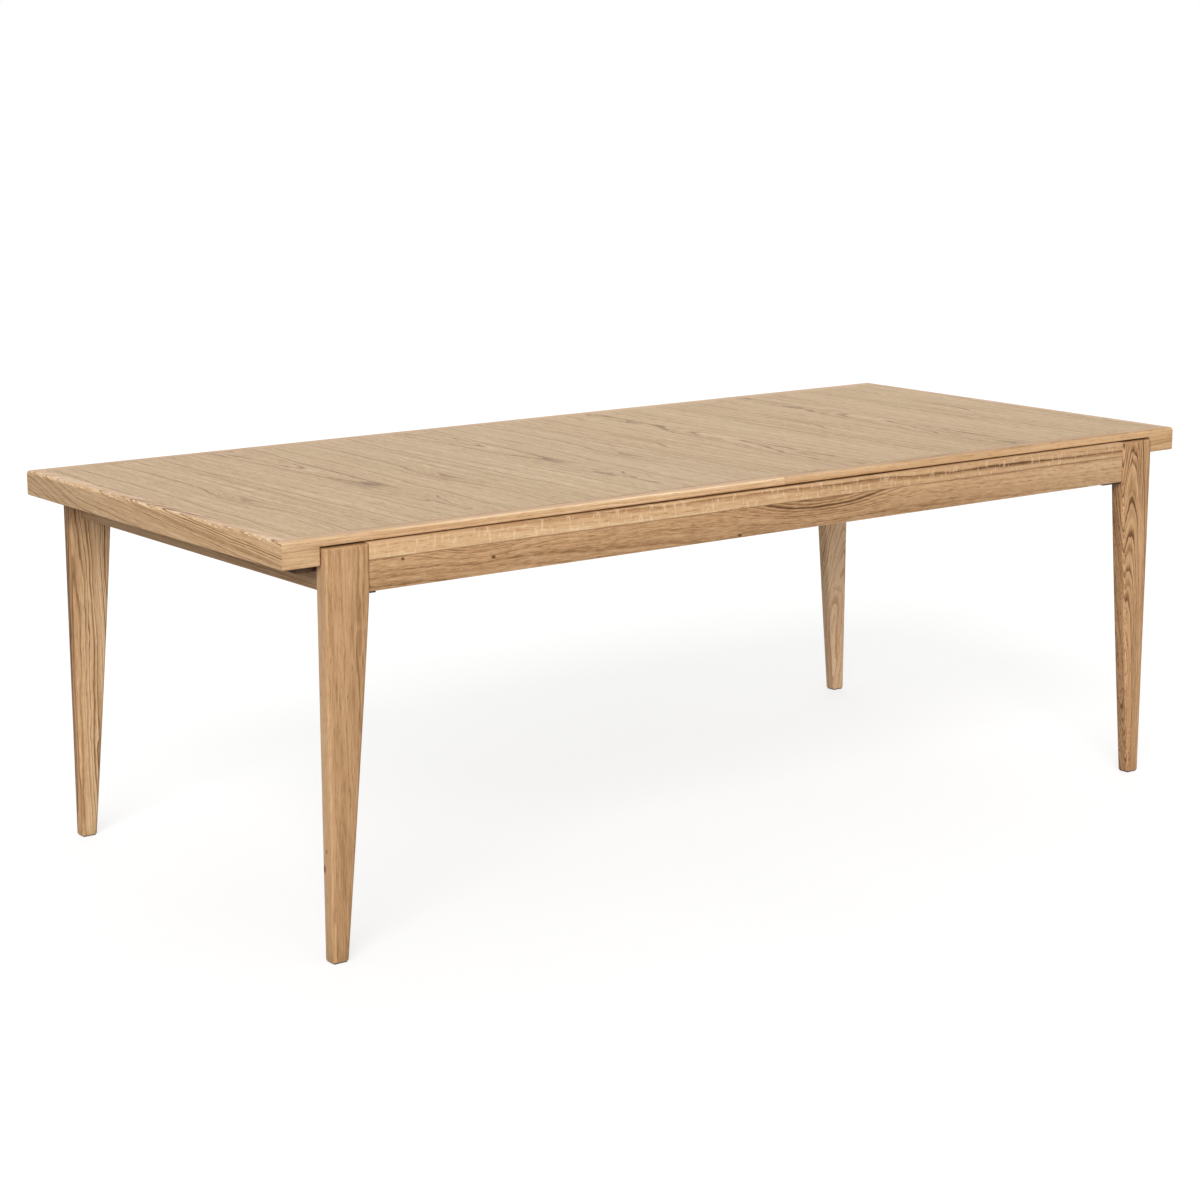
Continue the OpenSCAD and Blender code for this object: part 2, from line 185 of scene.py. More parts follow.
def logPlace(tree, look):
    # millimetres in the log that the board was sawn from: z runs along the pith
    where = addNode(tree, "ShaderNodeTexCoord")
    middle = [v * mm for v in look["pith"]]
    return addNode(tree, "ShaderNodeMapping", {"vector_type": "TEXTURE"},
                   {"Location": middle, "Rotation": logTurn(look), "Scale": (mm, mm, mm)},
                   {"Vector": where.outputs["Object"]}).outputs["Vector"]


def sheetPlace(tree, look):
    # veneer sheets laid side by side across x, each sliced from the same log a little deeper
    where = addNode(tree, "ShaderNodeTexCoord")
    turned = addNode(tree, "ShaderNodeVectorMath", {"operation": "MULTIPLY"},
                     {1: [look["facing"] / mm, look["facing"] / mm, 1 / mm]}, {0: where.outputs["Object"]})
    xyz = addNode(tree, "ShaderNodeSeparateXYZ", links={"Vector": turned.outputs["Vector"]})
    share = addNode(tree, "ShaderNodeMath", {"operation": "MULTIPLY_ADD"},
                    {1: 1 / look["sheet"], 2: look["start"] / look["sheet"]}, {0: xyz.outputs["X"]})
    index = addNode(tree, "ShaderNodeMath", {"operation": "FLOOR"}, links={0: share.outputs[0]})
    inSheet = addNode(tree, "ShaderNodeMath", {"operation": "FRACT"}, links={0: share.outputs[0]})
    across = addNode(tree, "ShaderNodeMath", {"operation": "MULTIPLY_ADD"},
                     {1: look["sheet"], 2: -look["sheet"] / 2 - look["pith"][0]}, {0: inSheet.outputs[0]})
    deep = addNode(tree, "ShaderNodeMath", {"operation": "MULTIPLY_ADD"},
                   {1: look["slice"], 2: look["pith"][1]}, {0: index.outputs[0]})
    sloped = addNode(tree, "ShaderNodeMath", {"operation": "MULTIPLY_ADD"},
                     {1: look["slope"]}, {0: xyz.outputs["Y"], 2: deep.outputs[0]})
    place = addNode(tree, "ShaderNodeCombineXYZ",
                    links={"X": across.outputs[0], "Y": sloped.outputs[0], "Z": xyz.outputs["Y"]})
    return place.outputs["Vector"], index.outputs[0]


def stretchedNoise(tree, place, size, detail=2.0, rough=0.5, shift=0.0):
    # noise whose patches are size[0] by size[1] mm across the grain and size[2] mm along it
    scaled = addNode(tree, "ShaderNodeVectorMath", {"operation": "MULTIPLY_ADD"},
                     {1: [1 / s for s in size], 2: (shift, shift, shift)}, {0: place})
    return addNode(tree, "ShaderNodeTexNoise", values={"Scale": 1, "Detail": detail, "Roughness": rough},
                   links={"Vector": scaled.outputs["Vector"]})


def swirlPlace(look, at):
    # a point on the table, in the axes of the log; for veneer the point is given in the sheet already
    if "sheet" in look:
        return tuple(at)
    back = Euler(logTurn(look), "XYZ").to_matrix().transposed()
    return tuple(back @ (Vector(at) - Vector(look["pith"])))


def weighted(tree, source, weight, total):
    # source times weight, plus a total that is a number or a socket
    made = addNode(tree, "ShaderNodeMath", {"operation": "MULTIPLY_ADD"}, {1: weight}, {0: source})
    if isinstance(total, float):
        made.inputs[2].default_value = total
    else:
        tree.links.new(total, made.inputs[2])
    return made.outputs[0]


def addSwirls(tree, place, look):
    # where a knot or a bulge in the stem pushes the rings aside, shades the wood or makes the lines crisper
    push, shade, crisp = 0.0, 0.0, 0.0
    for swirl in look["swirls"]:
        offset = addNode(tree, "ShaderNodeVectorMath", {"operation": "SUBTRACT"},
                         {1: swirlPlace(look, swirl["at"])}, {0: place})
        shaped = addNode(tree, "ShaderNodeVectorMath", {"operation": "MULTIPLY"},
                         {1: [1 / s for s in swirl["size"]]}, {0: offset.outputs["Vector"]})
        far = addNode(tree, "ShaderNodeVectorMath", {"operation": "LENGTH"},
                      links={0: shaped.outputs["Vector"]})
        near = addNode(tree, "ShaderNodeMapRange", {"interpolation_type": "SMOOTHSTEP"},
                       {"To Min": 1.0, "To Max": 0.0}, {"Value": far.outputs["Value"]})
        push = weighted(tree, near.outputs[0], swirl.get("push", 0.0), push)
        shade = weighted(tree, near.outputs[0], swirl.get("shade", 0.0), shade)
        crisp = weighted(tree, near.outputs[0], swirl.get("crisp", 0.0), crisp)
    return push, shade, crisp


def oakFigure(tree, place, look):
    # growth rings, streaks, pores and ray flecks of oak; returns the tone, the pores and the flecks
    seed = look["seed"]
    bend = stretchedNoise(tree, place, look["bend"], 1.5, shift=seed)
    ripple = stretchedNoise(tree, place, look["rippleSize"], 3.0, shift=seed + 5)
    warped = place
    for noise, amount in ((bend, look["wander"]), (ripple, look["ripple"])):
        centred = addNode(tree, "ShaderNodeVectorMath", {"operation": "SUBTRACT"},
                          {1: (0.5, 0.5, 0.5)}, {0: noise.outputs["Color"]})
        warped = addNode(tree, "ShaderNodeVectorMath", {"operation": "MULTIPLY_ADD"},
                         {1: (2 * amount, 2 * amount, 0)},
                         {0: centred.outputs["Vector"], 2: warped}).outputs["Vector"]
    flat = addNode(tree, "ShaderNodeVectorMath", {"operation": "MULTIPLY"}, {1: (1, 1, 0)}, {0: warped})
    away = addNode(tree, "ShaderNodeVectorMath", {"operation": "LENGTH"},
                   links={0: flat.outputs["Vector"]})
    radius = away.outputs["Value"]
    push, shade, crisp = addSwirls(tree, place, look)
    if look["swirls"]:
        pushed = addNode(tree, "ShaderNodeMath", {"operation": "ADD"}, links={0: radius, 1: push})
        radius = pushed.outputs[0]
    years = addNode(tree, "ShaderNodeMath", {"operation": "DIVIDE"}, {1: look["ring"]}, {0: radius})
    uneven = addNode(tree, "ShaderNodeTexNoise", {"noise_dimensions": "1D"},
                     {"Scale": 0.21, "Detail": 2.0, "Roughness": 0.6}, {"W": years.outputs[0]})
    phase = addNode(tree, "ShaderNodeMath", {"operation": "MULTIPLY_ADD"}, {1: 3.0},
                    {0: uneven.outputs["Fac"], 2: years.outputs[0]})
    year = addNode(tree, "ShaderNodeMath", {"operation": "FLOOR"}, links={0: phase.outputs[0]})
    season = addNode(tree, "ShaderNodeMath", {"operation": "FRACT"}, links={0: phase.outputs[0]})
    weather = addNode(tree, "ShaderNodeTexWhiteNoise", {"noise_dimensions": "1D"},
                      links={"W": year.outputs[0]})
    # spring wood is a dark porous line that fades into the paler summer wood
    spring = setRamp(addNode(tree, "ShaderNodeValToRGB", links={"Fac": season.outputs[0]}),
                     [(0.0, 0.15), (0.10, 1.0), (0.34, 0.60), (0.66, 0.08), (0.9, 0.0), (1.0, 0.15)])
    strength = addNode(tree, "ShaderNodeMapRange",
                       values={"From Min": look["sparse"], "From Max": 1.0, "To Min": 0.12, "To Max": 1.0},
                       links={"Value": weather.outputs["Value"]})
    lines = addNode(tree, "ShaderNodeMath", {"operation": "MULTIPLY"},
                    links={0: spring.outputs["Color"], 1: strength.outputs[0]})
    # several dark years together make the bands that show from afar
    bandPlace = addNode(tree, "ShaderNodeMath", {"operation": "MULTIPLY_ADD"},
                        {1: 1 / look["band"], 2: seed}, {0: radius})
    bands = addNode(tree, "ShaderNodeTexNoise", {"noise_dimensions": "1D"},
                    {"Scale": 1.0, "Detail": 4.0, "Roughness": 0.68}, {"W": bandPlace.outputs[0]})
    clouds = stretchedNoise(tree, warped, look["cloudSize"], 3.0, 0.55, seed + 11)
    streaks = stretchedNoise(tree, warped, look["streakSize"], 3.0, 0.62, seed + 17)
    fibres = stretchedNoise(tree, warped, look["fibreSize"], 3.0, 0.65, seed + 23)
    tone = addNode(tree, "ShaderNodeMath", {"operation": "MULTIPLY_ADD"},
                   {1: -look["lines"], 2: look["level"]}, {0: lines.outputs[0]})
    for noise, amount in ((bands, look["bands"]), (clouds, look["clouds"]),
                          (streaks, look["streaks"]), (fibres, look["fibres"])):
        centred = addNode(tree, "ShaderNodeMath", {"operation": "SUBTRACT"}, {1: 0.5},
                          {0: noise.outputs["Fac"]})
        tone = addNode(tree, "ShaderNodeMath", {"operation": "MULTIPLY_ADD"}, {1: amount},
                       {0: centred.outputs[0], 2: tone.outputs[0]})
    if look["swirls"]:
        shaded = addNode(tree, "ShaderNodeMath", {"operation": "ADD"}, links={0: tone.outputs[0], 1: shade})
        extra = addNode(tree, "ShaderNodeMath", {"operation": "MULTIPLY"},
                        links={0: lines.outputs[0], 1: crisp})
        tone = addNode(tree, "ShaderNodeMath", {"operation": "SUBTRACT"},
                       links={0: shaded.outputs[0], 1: extra.outputs[0]})
    # pores are cut lengthwise, so they show as short dark dashes; they are drawn a few times as wide as real
    # ones, which would be too thin to show
    dashes = stretchedNoise(tree, place, look["poreSize"], 2.0, 0.6, seed + 31)
    pores = addNode(tree, "ShaderNodeMapRange",
                    values={"From Min": 0.56, "From Max": 0.70, "To Min": 0.0, "To Max": 1.0},
                    links={"Value": dashes.outputs["Fac"]})
    porous = addNode(tree, "ShaderNodeMath", {"operation": "MULTIPLY_ADD"}, {1: 0.65, 2: 0.35},
                     {0: spring.outputs["Color"]})
    pores = addNode(tree, "ShaderNodeMath", {"operation": "MULTIPLY"},
                    links={0: pores.outputs[0], 1: porous.outputs[0]})
    rays = stretchedNoise(tree, place, look["raySize"], 1.0, 0.5, seed + 41)
    flecks = addNode(tree, "ShaderNodeMapRange",
                     values={"From Min": 0.60, "From Max": 0.68, "To Min": 0.0, "To Max": 1.0},
                     links={"Value": rays.outputs["Fac"]})
    return tone.outputs[0], pores.outputs[0], flecks.outputs[0]


oakColours = {
    # solid oak under matt oil: honey, with browner spring wood
    "solid": [(0.0, "#684629"), (0.22, "#967049"), (0.45, "#b99168"), (0.68, "#cba67d"), (1.0, "#e3c6a0")],
    # sliced oak veneer under matt lacquer: a little greyer, and never as dark
    "veneer": [(0.0, "#836341"), (0.25, "#9b7a51"), (0.5, "#b39266"), (0.75, "#c2a277"), (1.0, "#d6bb91")],
    # solid oak sanded and finished together with the veneer it borders: between the two
    "lipping": [(0.0, "#6a482b"), (0.25, "#9a744c"), (0.5, "#bb956b"), (0.75, "#cda981"), (1.0, "#e6c9a5")],
    # a redder, paler ramp: painted light, used to brighten and warm the back right leg, which stands in the
    # table's shade
    "red": [(0.0, "#70452a"), (0.25, "#a8764c"), (0.5, "#cc9c70"), (0.75, "#dcb186"), (1.0, "#eecba4")],
}


def finishOak(tree, tone, pores, flecks, look):
    # an open-pored matt finish: soft broad sheen, pores that stay a little deeper and duller
    colour = setRamp(addNode(tree, "ShaderNodeValToRGB", links={"Fac": tone}), oakColours[look["tint"]])
    dark = addNode(tree, "ShaderNodeMix", {"data_type": "RGBA", "blend_type": "MULTIPLY"},
                   {"B": linear(look["poreColour"])}, {"A": colour.outputs["Color"]})
    poreShare = addNode(tree, "ShaderNodeMath", {"operation": "MULTIPLY"}, {1: look["pores"]}, {0: pores})
    tree.links.new(poreShare.outputs[0], dark.inputs["Factor"])
    flecked = addNode(tree, "ShaderNodeMix", {"data_type": "RGBA"},
                      {"B": linear(look["fleckColour"])}, {"A": dark.outputs["Result"]})
    fleckShare = addNode(tree, "ShaderNodeMath", {"operation": "MULTIPLY"},
                         {1: look["flecks"]}, {0: flecks})
    if "fleckSide" in look:
        # flecks only beyond a plane: its direction, and how far along that it lies; they fade over 2 mm. On
        # the left end lipping this keeps pale flecks, painted glints, to the top outer arris
        *direction, reach = look["fleckSide"]
        where = addNode(tree, "ShaderNodeTexCoord")
        along = addNode(tree, "ShaderNodeVectorMath", {"operation": "DOT_PRODUCT"},
                        {1: direction}, {0: where.outputs["Object"]})
        beyond = addNode(tree, "ShaderNodeMapRange",
                         values={"From Min": (reach - 2) * mm, "From Max": reach * mm},
                         links={"Value": along.outputs["Value"]})
        fleckShare = addNode(tree, "ShaderNodeMath", {"operation": "MULTIPLY"},
                             links={0: fleckShare.outputs[0], 1: beyond.outputs[0]})
    tree.links.new(fleckShare.outputs[0], flecked.inputs["Factor"])
    shine = addNode(tree, "ShaderNodeMath", {"operation": "MULTIPLY_ADD"},
                    {1: -0.10, 2: look["roughness"]}, {0: tone})
    hollow = addNode(tree, "ShaderNodeMath", {"operation": "MULTIPLY"}, {1: -1.0}, {0: pores})
    relief = addNode(tree, "ShaderNodeBump", values={"Strength": 0.35, "Distance": 0.0003},
                     links={"Height": hollow.outputs[0]})
    return flecked.outputs["Result"], shine.outputs[0], relief.outputs["Normal"]


def newMaterial(name, values):
    material = bpy.data.materials.new(name)
    material.use_nodes = True
    tree = material.node_tree
    shader = tree.nodes["Principled BSDF"]
    for key, value in values.items():
        shader.inputs[key].default_value = value
    return material, tree, shader


def joinShader(tree, shader, colour, rough, normal):
    tree.links.new(colour, shader.inputs["Base Color"])
    tree.links.new(rough, shader.inputs["Roughness"])
    tree.links.new(normal, shader.inputs["Normal"])


def oiledOak(name, look):
    # solid oak, planed and sanded, then oiled: warm, silky, with open pores along the grain
    look = {**oakDefaults, **look}
    material, tree, shader = newMaterial(name, {"IOR": 1.47, "Specular IOR Level": 0.42})
    place = logPlace(tree, look)
    joinShader(tree, shader, *finishOak(tree, *oakFigure(tree, place, look), look))
    return material


def veneeredOak(name, look):
    # crown-cut oak veneer, slip-matched: the same figure returns sheet after sheet
    look = {**oakDefaults, **look}
    material, tree, shader = newMaterial(name, {"IOR": 1.47, "Specular IOR Level": 0.30})
    place, index = sheetPlace(tree, look)
    tone, pores, flecks = oakFigure(tree, place, look)
    shade = addNode(tree, "ShaderNodeTexWhiteNoise", {"noise_dimensions": "1D"}, links={"W": index})
    shift = addNode(tree, "ShaderNodeMath", {"operation": "MULTIPLY_ADD"}, {1: look["sheetTone"]},
                    {0: shade.outputs["Value"], 2: tone})
    joinShader(tree, shader, *finishOak(tree, shift.outputs[0], pores, flecks, look))
    return material


def gluedOak(name, upper, lower, joint):
    # two boards edge-glued one above the other, planed flush, with a hairline at the joint
    material, tree, shader = newMaterial(name, {"IOR": 1.47, "Specular IOR Level": 0.42})
    parts = []
    for board in (lower, upper):
        look = {**oakDefaults, **board}
        parts.append(finishOak(tree, *oakFigure(tree, logPlace(tree, look), look), look))
    where = addNode(tree, "ShaderNodeTexCoord")
    xyz = addNode(tree, "ShaderNodeSeparateXYZ", links={"Vector": where.outputs["Object"]})
    above = addNode(tree, "ShaderNodeMath", {"operation": "GREATER_THAN"},
                    {1: joint * mm}, {0: xyz.outputs["Z"]})
    colour = addNode(tree, "ShaderNodeMix", {"data_type": "RGBA"},
                     links={"Factor": above.outputs[0], "A": parts[0][0], "B": parts[1][0]})
    rough = addNode(tree, "ShaderNodeMix", {"data_type": "FLOAT"},
                    links={"Factor": above.outputs[0], "A": parts[0][1], "B": parts[1][1]})
    offset = addNode(tree, "ShaderNodeMath", {"operation": "SUBTRACT"},
                     {1: joint * mm}, {0: xyz.outputs["Z"]})
    away = addNode(tree, "ShaderNodeMath", {"operation": "ABSOLUTE"}, links={0: offset.outputs[0]})
    glue = addNode(tree, "ShaderNodeMapRange",
                   values={"From Min": 0.5 * mm, "From Max": 1.5 * mm, "To Min": 0.6, "To Max": 0.0},
                   links={"Value": away.outputs[0]})
    lined = addNode(tree, "ShaderNodeMix", {"data_type": "RGBA"}, {"B": linear("#6f4e30")},
                    {"Factor": glue.outputs[0], "A": colour.outputs["Result"]})
    joinShader(tree, shader, lined.outputs["Result"], rough.outputs["Result"], parts[0][2])
    return material


# deep, middle and pale wood, then the ray dashes
beechColours = {
    "plain": ("#c09a72", "#cfad86", "#dabb96", "#9a6f49"),
    # dark brown set, painted shade: the runners are made dark so that their ends read as shadow where they
    # show under the end lippings
    "darkShade": ("#4f3826", "#60452f", "#6f523a", "#3c2a1c"),
}


def planedBeech(name, grain, colourSet="plain"):
    # beech, planed and waxed: pinkish straw, or dark brown as painted shade, with tiny ray dashes and hardly
    # any rings
    deep, middle, pale, dash = beechColours[colourSet]
    material, tree, shader = newMaterial(name, {"IOR": 1.46, "Specular IOR Level": 0.4})
    place = logPlace(tree, {"grain": grain, "pith": (0, 0, 0), "lean": (0, 0, 0)})
    broad = stretchedNoise(tree, place, (18, 18, 500), 3.0, 0.5)
    dashes = stretchedNoise(tree, place, (0.9, 0.9, 3.5), 1.0, 0.5)
    tone = addNode(tree, "ShaderNodeMapRange", values={"From Min": 0.3, "From Max": 0.7},
                   links={"Value": broad.outputs["Fac"]})
    colour = setRamp(addNode(tree, "ShaderNodeValToRGB", links={"Fac": tone.outputs[0]}),
                     [(0.0, deep), (0.5, middle), (1.0, pale)])
    share = addNode(tree, "ShaderNodeMapRange",
                    values={"From Min": 0.60, "From Max": 0.68, "To Min": 0.0, "To Max": 0.6},
                    links={"Value": dashes.outputs["Fac"]})
    flecked = addNode(tree, "ShaderNodeMix", {"data_type": "RGBA"}, {"B": linear(dash)},
                      {"A": colour.outputs["Color"], "Factor": share.outputs[0]})
    relief = addNode(tree, "ShaderNodeBump", values={"Strength": 0.15, "Distance": 0.0002},
                     links={"Height": broad.outputs["Fac"]})
    rough = addNode(tree, "ShaderNodeMapRange", values={"To Min": 0.5, "To Max": 0.6},
                    links={"Value": broad.outputs["Fac"]})
    joinShader(tree, shader, flecked.outputs["Result"], rough.outputs[0], relief.outputs["Normal"])
    return material


def metalFinish(name, pale, dark, metallic, rough, speckle):
    # plated or coated steel, finely mottled; speckle is the size in mm of the crystals or the powder grain
    material, tree, shader = newMaterial(name, {"Metallic": metallic})
    where = addNode(tree, "ShaderNodeTexCoord")
    grain = addNode(tree, "ShaderNodeTexNoise", values={"Scale": 1 / (speckle * mm), "Detail": 3.0},
                    links={"Vector": where.outputs["Object"]})
    colour = setRamp(addNode(tree, "ShaderNodeValToRGB", links={"Fac": grain.outputs["Fac"]}),
                     [(0.35, dark), (0.65, pale)])
    shine = addNode(tree, "ShaderNodeMapRange", values={"To Min": rough - 0.07, "To Max": rough + 0.07},
                    links={"Value": grain.outputs["Fac"]})
    relief = addNode(tree, "ShaderNodeBump", values={"Strength": 0.2, "Distance": 0.0001},
                     links={"Height": grain.outputs["Fac"]})
    joinShader(tree, shader, colour.outputs["Color"], shine.outputs[0], relief.outputs["Normal"])
    return material


def pressedFelt(name):
    # wool felt, pressed: matt, fuzzy, mottled grey
    material, tree, shader = newMaterial(name, {"Sheen Weight": 0.3, "Specular IOR Level": 0.1})
    where = addNode(tree, "ShaderNodeTexCoord")
    hairs = addNode(tree, "ShaderNodeTexNoise",
                    values={"Scale": 1 / (0.8 * mm), "Detail": 4.0, "Roughness": 0.7},
                    links={"Vector": where.outputs["Object"]})
    colour = setRamp(addNode(tree, "ShaderNodeValToRGB", links={"Fac": hairs.outputs["Fac"]}),
                     [(0.3, "#2f2b28"), (0.7, "#5b544d")])
    rough = addNode(tree, "ShaderNodeMapRange", values={"To Min": 0.9, "To Max": 1.0},
                    links={"Value": hairs.outputs["Fac"]})
    relief = addNode(tree, "ShaderNodeBump", values={"Strength": 0.5, "Distance": 0.0004},
                     links={"Height": hairs.outputs["Fac"]})
    joinShader(tree, shader, colour.outputs["Color"], rough.outputs[0], relief.outputs["Normal"])
    return material


beechAlong = {axis: planedBeech("planed beech " + axis, axis) for axis in "XY"}
darkShadeBeech = planedBeech("dark brown beech for painted shade", "X", "darkShade")
# zinc gives a cool grey with a soft shine, the yellow passivation a brassy tint, the powder coat a dull black
zincSteel = metalFinish("zinc plated steel", "#c9cac6", "#a3a5a2", 1.0, 0.36, 1.5)
yellowSteel = metalFinish("yellow passivated steel", "#d2bd84", "#b39b62", 1.0, 0.34, 2.0)
blackSteel = metalFinish("black powder coated steel", "#1d1c1c", "#131313", 0.0, 0.55, 0.6)
greyFelt = pressedFelt("pressed grey felt")
print("plain materials made")


# legs: two upright outer faces, two inner faces that taper towards the floor

legShape = {"foot": (32, 29), "taperTop": 643.5, "steps": 18, "power": 1.08,
            "arris": 5.5, "topArris": 3.0, "footChamfer": 2.5}


def taperShare(down):
    # share of the taper that is done, a share of the way down from the apron
    return down ** legShape["power"]


def buildLeg(nodeName, material):
    low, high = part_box(nodeName)
    side = 1 if low.x > 0 else -1
    depth = 1 if low.y > 0 else -1
    outer = Vector((high.x if side > 0 else low.x, high.y if depth > 0 else low.y, 0))
    full = Vector((high.x - low.x, high.y - low.y, 0))
    foot = Vector((legShape["foot"][0] * mm, legShape["foot"][1] * mm, 0))
    rise = (legShape["taperTop"] * mm - low.z) / legShape["steps"]
    bpy.ops.mesh.primitive_cube_add(size=1, location=(outer.x - side * foot.x / 2,
                                                      outer.y - depth * foot.y / 2, low.z + rise / 2))
    leg = bpy.context.object
    leg.name = leg.data.name = nodeName + "_wood"
    leg.scale = (foot.x, foot.y, rise)
    applyPlace(leg)
    enterEdit(leg, "FACE")

    def sizeAt(step):
        share = taperShare(1 - step / legShape["steps"])
        return full - (full - foot) * share

    # the first ring of the foot already has its size for one step up
    level = low.z + rise
    pickFaces(leg, lambda centre, normal: normal.z > 0.9)
    bpy.ops.transform.resize(value=(sizeAt(1).x / foot.x, sizeAt(1).y / foot.y, 1),
                             center_override=(outer.x, outer.y, level))
    for step in range(2, legShape["steps"] + 1):
        bpy.ops.mesh.extrude_region_move(TRANSFORM_OT_translate={"value": (0, 0, rise)})
        level += rise
        before, after = sizeAt(step - 1), sizeAt(step)
        bpy.ops.transform.resize(value=(after.x / before.x, after.y / before.y, 1),
                                 center_override=(outer.x, outer.y, level))
    bpy.ops.mesh.extrude_region_move(TRANSFORM_OT_translate={"value": (0, 0, high.z - level)})
    pickEdges(leg, lambda a, b: abs(a.z - b.z) > 0.9 * (a - b).length)
    bpy.ops.mesh.bevel(offset=legShape["arris"] * mm, segments=5, affect="EDGES", clamp_overlap=False)
    pickEdges(leg, lambda a, b: min(a.z, b.z) > high.z - 0.01 * mm)
    bpy.ops.mesh.bevel(offset=legShape["topArris"] * mm, segments=4, affect="EDGES", clamp_overlap=False)
    pickEdges(leg, lambda a, b: max(a.z, b.z) < low.z + 0.01 * mm)
    bpy.ops.mesh.bevel(offset=legShape["footChamfer"] * mm, segments=2, affect="EDGES", clamp_overlap=False)
    leaveEdit()
    return settle(leg, nodeName, material)


# each leg is sawn from its own part of a log: pith is a point on the log's middle, in millimetres
legLooks = {
    # rift-sawn, fine and straight, with two small knots low on its outer side
    "leg_front_left": {"grain": "Z", "pith": (-1130, -1060, 0), "lean": (0.5, 0.4, 0), "ring": 3.4,
                       "seed": 1.0, "level": 0.43, "lines": 0.26, "bands": 0.34, "band": 9, "clouds": 0.3,
                       "streaks": 0.32, "fibres": 0.65, "fibreSize": (2.6, 2.6, 55), "wander": 5,
                       "swirls": [{"at": (-1030, -450, 400), "size": (26, 70, 900), "shade": 0.30},
                                  {"at": (-1023, -462, 167), "size": (6, 6, 11), "push": 5, "shade": -0.75},
                                  {"at": (-1023, -470, 200), "size": (3, 3, 6), "push": 3, "shade": -0.5}]},
    # crown-cut face with nested peaks pointing up, straight lines to the right, red ray flecks inside
    "leg_front_right": {"grain": "Z", "pith": (966, -436, 640), "lean": (-4.2, 0.0, 0), "ring": 2.6,
                        "seed": 2.0, "level": 0.45, "lines": 0.55, "sparse": 0.1, "bands": 0.35, "band": 9,
                        "clouds": 0.3, "streaks": 0.4, "fibres": 0.6, "wander": 3, "ripple": 1.6,
                        "flecks": 0.9, "fleckSide": (-1, 0, -0.0873, -999),
                        "fleckColour": "#8f543a", "raySize": (3.2, 3.2, 8),
                        "swirls": [{"at": (966, -495, 640), "size": (60, 90, 190), "crisp": 1.1}]},
    # wild dark streaks and ovals
    "leg_back_left": {"grain": "Z", "pith": (-1120, 340, 0), "lean": (0.5, -0.6, 0), "ring": 6.0,
                      "seed": 3.0, "level": 0.71, "lines": 1.3, "sparse": 0.3, "bands": 1.1, "band": 8,
                      "clouds": 0.4, "fibres": 0.6, "ripple": 4.5, "bend": (60, 60, 300),
                      "swirls": [{"at": (-1028, 490, 500), "size": (34, 90, 900),
                                  "shade": -0.42, "crisp": 0.5},
                                 {"at": (-975, 445, 400), "size": (60, 24, 900), "shade": 0.14}]},
    # diagonal figure where the grain runs out of the face; its red tint and high level are painted light on a
    # leg in the table's shade
    "leg_back_right": {"grain": "Z", "pith": (1010, 420, 300), "lean": (6.0, 9.0, 0), "ring": 5.5,
                       "seed": 4.0, "tint": "red", "level": 0.98, "lines": 0.65, "bands": 0.9, "band": 9,
                       "clouds": 0.4, "bend": (50, 50, 160)},
}
for nodeName, look in legLooks.items():
    buildLeg(nodeName, oiledOak("oiled oak " + nodeName.replace("_", " "), look))
print("legs made")


# boards and fittings whose shape the frame already has: eased along their arrises

def easedPart(nodeName, ease, material, segments=2, deepEase=None, keep=None):
    # deepEase gives some edges, picked by keep, a larger radius first
    source = frame["nodes"][nodeName]
    piece = bpy.data.objects.new(nodeName + "_eased", source.data.copy())
    bpy.context.scene.collection.objects.link(piece)
    selectOnly(piece)
    if piece.data.has_custom_normals:
        bpy.ops.mesh.customdata_custom_splitnormals_clear()
    enterEdit(piece)
    bpy.ops.mesh.select_all(action="SELECT")
    bpy.ops.mesh.remove_doubles(threshold=0.002 * mm)
    bpy.ops.mesh.dissolve_limited(angle_limit=math.radians(0.5))
    if deepEase and pickEdges(piece, keep):
        bpy.ops.mesh.bevel(offset=deepEase * mm, segments=4, affect="EDGES", clamp_overlap=False)
    bpy.ops.object.mode_set(mode="OBJECT")
    bevel = piece.modifiers.new("ease", "BEVEL")
    bevel.width = ease * mm
    bevel.segments = segments
    bevel.limit_method = "ANGLE"
    bevel.angle_limit = math.radians(40)
    bevel.use_clamp_overlap = False
    bpy.ops.object.modifier_apply(modifier="ease")
    # where a rounded arris meets a corner the easing runs a little past the face; it is brought back
    low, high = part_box(nodeName)
    for vertex in piece.data.vertices:
        vertex.co = [min(max(c, a), b) for c, a, b in zip(vertex.co, low, high)]
    bpy.ops.object.shade_smooth_by_angle(angle=math.radians(35))
    return settle(piece, nodeName, material)


# veneered panels; the right half is laid like the left one turned half round

veneer = {"grain": "Y", "sheet": 437.0, "start": 1322.0, "slice": 1.2, "slope": -0.036, "pith": (0, 60.7),
          "ring": 4.2, "seed": 7.0, "sheetTone": 0.03, "tint": "veneer", "wander": 15, "ripple": 4.0,
          "bend": (85, 85, 360), "level": 0.66, "lines": 0.78, "sparse": 0.45, "bands": 0.50, "band": 9,
          "clouds": 0.42, "streaks": 0.45, "fibres": 0.9, "fibreSize": (3.4, 3.4, 34), "pores": 1.0,
          "roughness": 0.54,
          "swirls": [{"at": (150, 66, -70), "size": (36, 90, 175),
                      "push": 22, "shade": -0.10, "crisp": 0.5},
                     {"at": (0, 66, -150), "size": (60, 90, 260), "crisp": 0.25},
                     {"at": (-190, 66, 60), "size": (14, 90, 420), "shade": -0.14}]}
leftVeneer = veneeredOak("oak veneer left half", {**veneer, "facing": 1})
rightVeneer = veneeredOak("oak veneer right half", {**veneer, "facing": -1, "seed": 8.5})
for nodeName, material in (("left_panel", leftVeneer), ("right_panel", rightVeneer)):
    easedPart(nodeName, 0.25, material, 1)

# solid lippings: rounded above, eased below, mitred at the corners

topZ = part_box("left_end_lipping")[1].z
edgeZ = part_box("left_end_lipping")[0].z
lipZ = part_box("left_panel")[0].z
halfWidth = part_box("left_end_lipping")[1].y
halfLength = -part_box("left_end_lipping")[0].x


